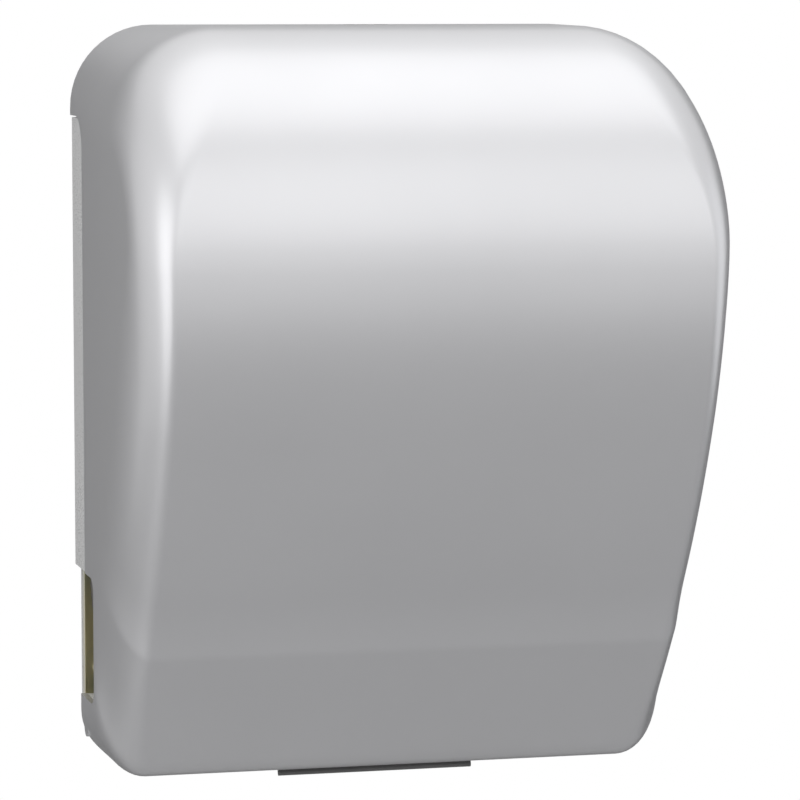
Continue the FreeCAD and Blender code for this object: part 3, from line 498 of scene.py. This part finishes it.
# Where along the profile the corner tightens, deepens, and turns under the foot.
tighten_start = crown_end - 110.0
deepen_start = crown_end - 30.0
deepen_end = crown_end + 75.0
crown_fade = crown_end - 10.0
turn_start = chin_travel - 30.0
turn_end = foot_travel - 15.0
foot_start = foot_travel - 20.0


def corner_section(step, inset):
    """The corner's outer point, its inner point on the side, and its reach across."""
    depth, height, angle = profile[step]
    t = travel[step]
    lower = smooth(t, deepen_start, deepen_end)
    foot = smooth(t, turn_start, foot_start)
    fall = smooth(t, crown_depth, crown_fade)
    rise = min(1.0, (t + rear_gap) / crown_depth)
    shoulder = corner_top + (corner_crown - corner_top) * rise * (1.0 - fall)
    back = shoulder + (corner_back - shoulder) * lower
    back += (corner_foot - back) * foot
    reach = shoulder + (corner_across - shoulder) * smooth(t, tighten_start, crown_end)
    reach += (corner_foot - reach) * foot
    ux, uy = unit(angle)
    outer = (depth - inset * ux, height - inset * uy)
    if t > brow_travel:
        angle = brow_angle + (chin_angle - brow_angle) * smooth(t, brow_travel, turn_start)
    if t > turn_start:
        angle = chin_angle + (-90.0 - chin_angle) * smooth(t, turn_start, turn_end)
    ux, uy = unit(angle)
    inner = (depth - back * ux, height - back * uy)
    return outer, inner, reach - inset


flat_steps = 8
round_steps = 14
side_steps = 8
half_steps = flat_steps + round_steps + side_steps
merge_distance = 0.01 * mm


def cover_point(step, column, inset):
    """Column 0 is the middle of the front and the last one is the rear edge of the side."""
    outer, inner, reach = corner_section(step, inset)
    half = cover_width / 2 - inset
    if column <= flat_steps:
        return (half - reach) * column / flat_steps, outer[0], outer[1]
    if column <= flat_steps + round_steps:
        turn = math.pi / 2 * (column - flat_steps) / round_steps
        lift = math.cos(turn)
        return (half - reach * (1 - math.sin(turn)),
                inner[0] + (outer[0] - inner[0]) * lift, inner[1] + (outer[1] - inner[1]) * lift)
    share = (column - flat_steps - round_steps) / side_steps
    high = cover_height - corner_top
    rear = (rear_gap, high + (corner_foot - high) * travel[step] / foot_travel)
    return half, inner[0] + (rear[0] - inner[0]) * share, inner[1] + (rear[1] - inner[1]) * share


def cover_skin(inset):
    bpy.ops.object.select_all(action="DESELECT")
    bpy.ops.mesh.primitive_grid_add(x_subdivisions=2 * half_steps, y_subdivisions=len(profile) - 1,
                                    size=2.0)
    skin = bpy.context.object
    rows = len(profile)
    for vertex in skin.data.vertices:
        column = round((vertex.co.x + 1) * half_steps) - half_steps
        step = rows - 1 - round((vertex.co.y + 1) / 2 * (rows - 1))
        x, depth, height = cover_point(step, abs(column), inset)
        vertex.co = place(math.copysign(x, column) if column else 0.0, depth, height)
    bpy.ops.object.mode_set(mode="EDIT")
    bpy.ops.mesh.select_mode(type="EDGE")
    bpy.ops.mesh.select_all(action="SELECT")
    bpy.ops.mesh.remove_doubles(threshold=merge_distance)
    bpy.ops.mesh.dissolve_degenerate(threshold=merge_distance)
    bpy.ops.mesh.normals_make_consistent(inside=False)
    bpy.ops.object.mode_set(mode="OBJECT")
    return skin


def apply_all(piece):
    bpy.ops.object.select_all(action="DESELECT")
    piece.select_set(True)
    bpy.context.view_layer.objects.active = piece
    for modifier in list(piece.modifiers):
        bpy.ops.object.modifier_apply(modifier=modifier.name)


def solid_box(x_from, x_to, d_from, d_to, h_from, h_to):
    low = place(x_from, d_to, h_from)
    high = place(x_to, d_from, h_to)
    bpy.ops.object.select_all(action="DESELECT")
    bpy.ops.mesh.primitive_cube_add(size=1.0, location=(low + high) / 2, scale=high - low)
    bpy.ops.object.transform_apply(location=True, rotation=True, scale=True)
    return bpy.context.object


def solid_rod(radius, start, end, sides=48):
    line = end - start
    bpy.ops.object.select_all(action="DESELECT")
    bpy.ops.mesh.primitive_cylinder_add(radius=radius * mm, depth=line.length, vertices=sides,
                                        location=(start + end) / 2,
                                        rotation=line.to_track_quat("Z", "Y").to_euler())
    bpy.ops.object.transform_apply(location=True, rotation=True, scale=True)
    return bpy.context.object


def combine(piece, tool, action):
    step = piece.modifiers.new("shape", "BOOLEAN")
    step.operation = action
    step.solver = "EXACT"
    step.object = tool
    apply_all(piece)
    bpy.data.objects.remove(tool, do_unlink=True)


# The moulding's wall: an outer skin, and an inner one turned to face inwards, joined at the rim.
cover = cover_skin(0.0)
cover.name = "front_cover_shell"
cover_skin(cover_wall)
bpy.ops.object.mode_set(mode="EDIT")
bpy.ops.mesh.select_all(action="SELECT")
bpy.ops.mesh.flip_normals()
bpy.ops.object.mode_set(mode="OBJECT")
cover.select_set(True)
bpy.context.view_layer.objects.active = cover
bpy.ops.object.join()
bpy.ops.object.mode_set(mode="EDIT")
bpy.ops.mesh.select_all(action="DESELECT")
bpy.ops.mesh.select_non_manifold(extend=False, use_boundary=True, use_wire=False,
                                 use_multi_face=False, use_non_contiguous=False, use_verts=False)
bpy.ops.mesh.bridge_edge_loops()
bpy.ops.object.mode_set(mode="OBJECT")

half = cover_width / 2
inner_half = half - cover_wall
past = 3.0
just_past = 1.0

# The cover's bosses: one under the lock, and one inside each foot for a hinge pin.
lock_depth = 30.0
lock_boss_radius = 15.0
lock_boss = 6.0
hinge_depth = 26.0
hinge_height = 20.0
hinge_boss_radius = 6.0
hinge_boss_length = 6.0
hinge_boss_end = inner_half - hinge_boss_length
hinge_bore_radius = 2.55
hinge_bore_wall = 1.45
combine(cover, solid_rod(lock_boss_radius,
                         place(0, lock_depth, cover_height - cover_wall - lock_boss),
                         place(0, lock_depth, cover_height - cover_wall / 2)), "UNION")


def hinge_rod(radius, side, x_from, x_to):
    return solid_rod(radius, place(side * x_from, hinge_depth, hinge_height),
                     place(side * x_to, hinge_depth, hinge_height))


# The cover's rear edges: a notch on each side that the tray's side wall fills, its top corner
# round, and room below it for the tray's hinge ear.
side_edge_depth = 34.0
edge_round = side_edge_depth / 2
skirt_top = 325.0
curve_height = skirt_top - edge_round
access_foot = 35.0
ear_middle = 131.5
ear_room_half = 4.0
ear_room = 7.0
for side in (-1, 1):
    combine(cover, hinge_rod(hinge_boss_radius, side, hinge_boss_end, half - cover_wall / 2),
            "UNION")
    combine(cover, hinge_rod(hinge_bore_radius, side, hinge_boss_end - just_past,
                             inner_half - hinge_bore_wall), "DIFFERENCE")
    low_x, high_x = sorted((side * (inner_half - past), side * (half + past)))
    for notch in (solid_box(low_x, high_x, -past, side_edge_depth, access_foot, curve_height),
                  solid_box(low_x, high_x, -past, edge_round, access_foot, skirt_top),
                  solid_rod(edge_round, place(low_x, edge_round, curve_height),
                            place(high_x, edge_round, curve_height))):
        combine(cover, notch, "DIFFERENCE")
    combine(cover, solid_box(side * ear_middle - ear_room_half, side * ear_middle + ear_room_half,
                             -past, hinge_depth + ear_room, -past, hinge_height + ear_room),
            "DIFFERENCE")

# The opening beside the manual feed wheel, for a thumb. Its two front corners are rounded.
access_depth = 58.0
skirt_foot = 98.0
access_corner = 8.0
access_corner_steps = 8
window = solid_box(-half - past, -inner_half + past, -past, access_depth, access_foot, skirt_foot)
bpy.ops.object.mode_set(mode="EDIT")
bpy.ops.mesh.select_all(action="DESELECT")
bpy.ops.object.mode_set(mode="OBJECT")
front_edge = -access_depth * mm
for edge in window.data.edges:
    a, b = (window.data.vertices[v].co for v in edge.vertices)
    at_front = max(abs(a.y - front_edge), abs(b.y - front_edge)) < merge_distance
    edge.select = at_front and abs(a.x - b.x) > merge_distance
bpy.ops.object.mode_set(mode="EDIT")
bpy.ops.mesh.bevel(offset=access_corner * mm, segments=access_corner_steps, affect="EDGES")
bpy.ops.object.mode_set(mode="OBJECT")
combine(cover, window, "DIFFERENCE")

# The open heel, the paper outlet in the underside, and the lock's stepped hole.
heel_depth = 20.0
outlet_half = 115.0
outlet_front = 67.5
outlet_back = 28.0
floor_cut = cover_wall + just_past
lock_bore_radius = 9.05
lock_bore_length = 12.0
lock_rim_radius = 11.55
lock_rim = 1.4
lock_hole_sides = 64
for opening in (solid_box(-half - past, half + past, -past, heel_depth, -past, access_foot),
                solid_box(-outlet_half, outlet_half, -past, outlet_front, -past, floor_cut),
                solid_box(-inner_half, inner_half, -past, outlet_back, -past, floor_cut),
                solid_rod(lock_bore_radius,
                          place(0, lock_depth, cover_height - lock_bore_length),
                          place(0, lock_depth, cover_height + past), lock_hole_sides),
                solid_rod(lock_rim_radius, place(0, lock_depth, cover_height - lock_rim),
                          place(0, lock_depth, cover_height + past), lock_hole_sides)):
    combine(cover, opening, "DIFFERENCE")

# The cover's finish: soft shading up to its sharp edges, and a satin silver lacquer.
sharp_angle = math.radians(32)
bpy.ops.object.select_all(action="DESELECT")
cover.select_set(True)
bpy.context.view_layer.objects.active = cover
bpy.ops.object.shade_smooth_by_angle(angle=sharp_angle)
even = cover.modifiers.new("even_normals", "WEIGHTED_NORMAL")
even.keep_sharp = True
apply_all(cover)
cover_silver = moulded_plastic("cover_silver", (0.62, 0.62, 0.635, 1),
                               (0.605, 0.605, 0.62, 1), 0.4, coat=0.2, bump=0.03, metal=0.8)
cover.data.materials.clear()
cover.data.materials.append(cover_silver)
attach(cover, "cover")
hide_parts("front_cover")

# Lock. A nickel plated barrel in the cover's top, held by a nut, with the key's slot in its rotor.
# The cam on the rotor's end turns under the tray's catch.
lock_nickel = worked_metal("lock_nickel", grey(0.68, 0.02), grey(0.6, 0.03), 0.16, along_z)
dress(lock_nickel, "lock_housing", "lock_nut", "lock_rotor")
